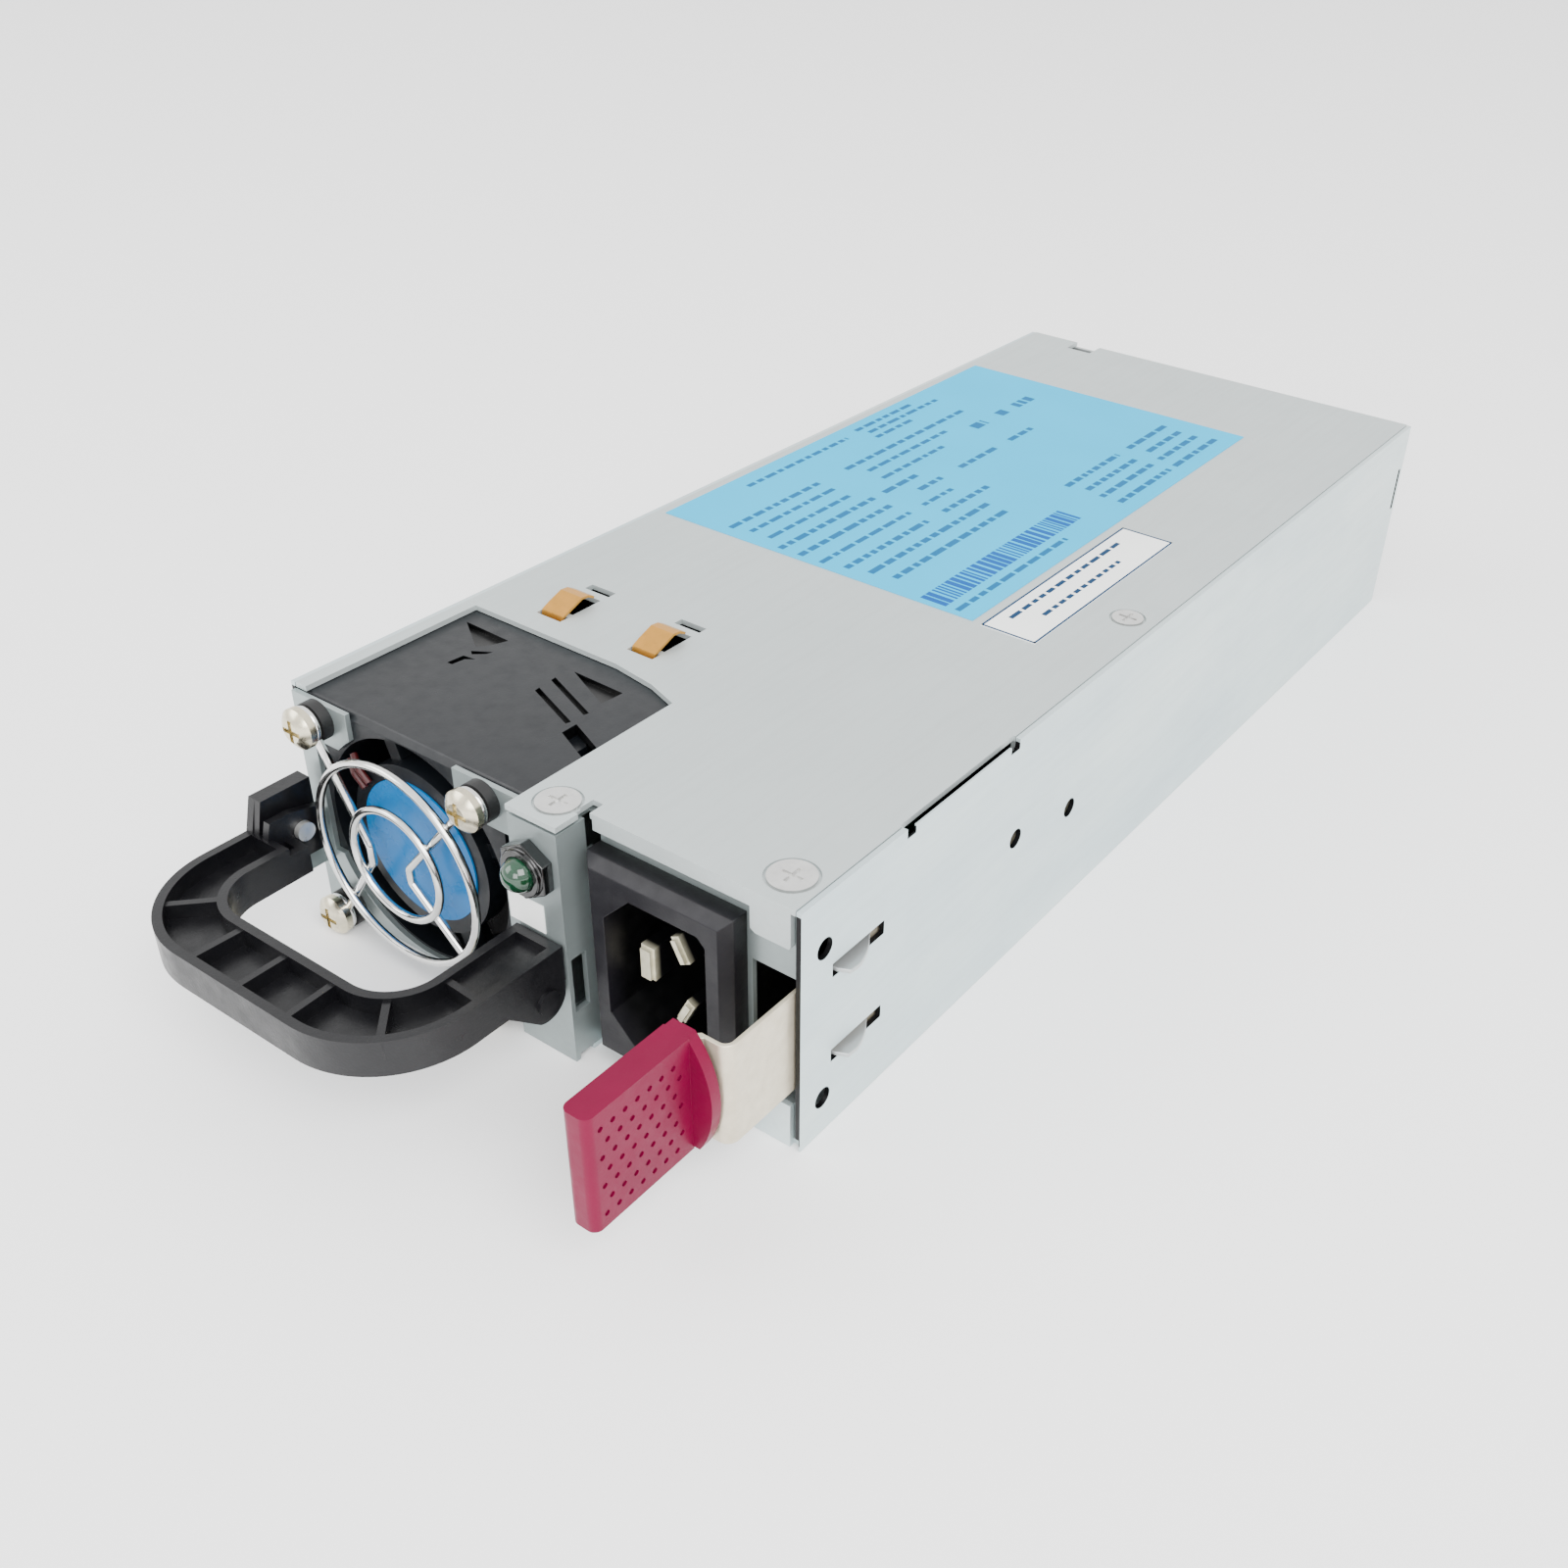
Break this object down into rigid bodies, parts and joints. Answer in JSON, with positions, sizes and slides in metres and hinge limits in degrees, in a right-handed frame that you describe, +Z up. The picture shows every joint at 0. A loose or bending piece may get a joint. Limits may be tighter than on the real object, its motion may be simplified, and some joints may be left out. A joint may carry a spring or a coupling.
{
  "type": "hot swap server power supply",
  "caption": "Slim pluggable server power supply with a fan behind a wire guard, a mains inlet, a folding handle, a sprung release tab and a card edge at the back.",
  "frame": {"origin": "centre of the case's bottom face", "axes": "+Y along the supply from the fan and inlet end towards the card edge, +Z up through the top cover, +X towards the release tab's side"},
  "size_m": [0.088, 0.2392, 0.0399],
  "materials": {
    "sheet_steel": "satin galvanised",
    "bright_steel": "bright plated",
    "spring_steel": "satin",
    "dark_plastic": "matt",
    "fan_plastic": "matt",
    "tab_plastic": "satin",
    "lens_green": "gloss",
    "label_blue": "satin film",
    "label_white": "satin film",
    "disc_blue": "satin film",
    "rubber": "matt",
    "copper": "satin",
    "gold_contact": "bright",
    "nickel": "satin",
    "board_green": "satin",
    "film_yellow": "satin",
    "ceramic_blue": "gloss",
    "ferrite": "matt",
    "winding": "enamelled",
    "magnet": "matt",
    "heatsink": "satin",
    "capacitor_sleeve": "gloss",
    "insulator": "matt",
    "wire_dark": "satin",
    "glass_tube": "clear"
  },
  "bodies": {
    "chassis": {"lower_case": "sheet_steel", "top_cover": "sheet_steel", "front_panel": "sheet_steel", "fan_plate": "sheet_steel", "rear_panel": "sheet_steel", "cover_screws": "bright_steel", "grounding_springs": "copper", "rating_label": "label_blue", "serial_label": "label_white", "status_label": "label_white", "fan_frame": "fan_plastic", "fan_hub_disc": "disc_blue", "fan_motor": "winding", "fan_bearings": "bright_steel", "finger_guard": "bright_steel", "fan_isolators": "rubber", "fan_screws": "nickel", "fan_leads": "wire_dark", "led_holder": "dark_plastic", "led_lens": "lens_green", "led_board": "board_green", "inlet_housing": "dark_plastic", "inlet_blades": "nickel", "handle_pins": "bright_steel", "latch_root": "spring_steel", "latch_rivets": "bright_steel", "main_board": "board_green", "edge_contacts": "gold_contact", "insulator_sheet": "insulator", "standoffs": "bright_steel", "board_screws": "bright_steel", "inlet_wires": "wire_dark", "fuse": "glass_tube", "x_capacitor": "film_yellow", "y_capacitors": "ceramic_blue", "emi_choke": "winding", "inrush_relay": "capacitor_sleeve", "bridge_rectifier": "capacitor_sleeve", "primary_heatsink": "heatsink", "primary_transistors": "capacitor_sleeve", "primary_spreader": "heatsink", "pfc_choke": "winding", "bulk_capacitor": "capacitor_sleeve", "transformer_core": "ferrite", "transformer_winding": "film_yellow", "standby_transformer": "ferrite", "output_choke": "winding", "output_capacitors": "capacitor_sleeve", "secondary_heatsink": "heatsink", "secondary_transistors": "capacitor_sleeve", "output_busbars": "copper", "control_board": "board_green"},
    "rotor": {"fan_rotor": "dark_plastic", "fan_shaft": "bright_steel", "rotor_magnet": "magnet"},
    "latch": {"latch_spring": "spring_steel", "latch_tab": "tab_plastic"},
    "grip": {"handle": "dark_plastic", "detent_rivet": "bright_steel"}
  },
  "joints": [
    {"name": "fan_spin", "type": "hinge", "parent": "chassis", "child": "rotor", "pos_m": [-0.02125, -0.08575, 0.01885], "axis": [0, 1, 0], "continuous": true},
    {"name": "latch_release", "type": "hinge", "parent": "chassis", "child": "latch", "pos_m": [0.0418, -0.05335, 0.0182], "axis": [0, 0, -1], "range_deg": [0, 3.2], "stiffness_Nm_per_rad": 8},
    {"name": "handle_fold", "type": "hinge", "parent": "chassis", "child": "grip", "pos_m": [-0.0165, -0.10635, 0.013], "axis": [1, 0, 0], "range_deg": [0, 90]}
  ]
}
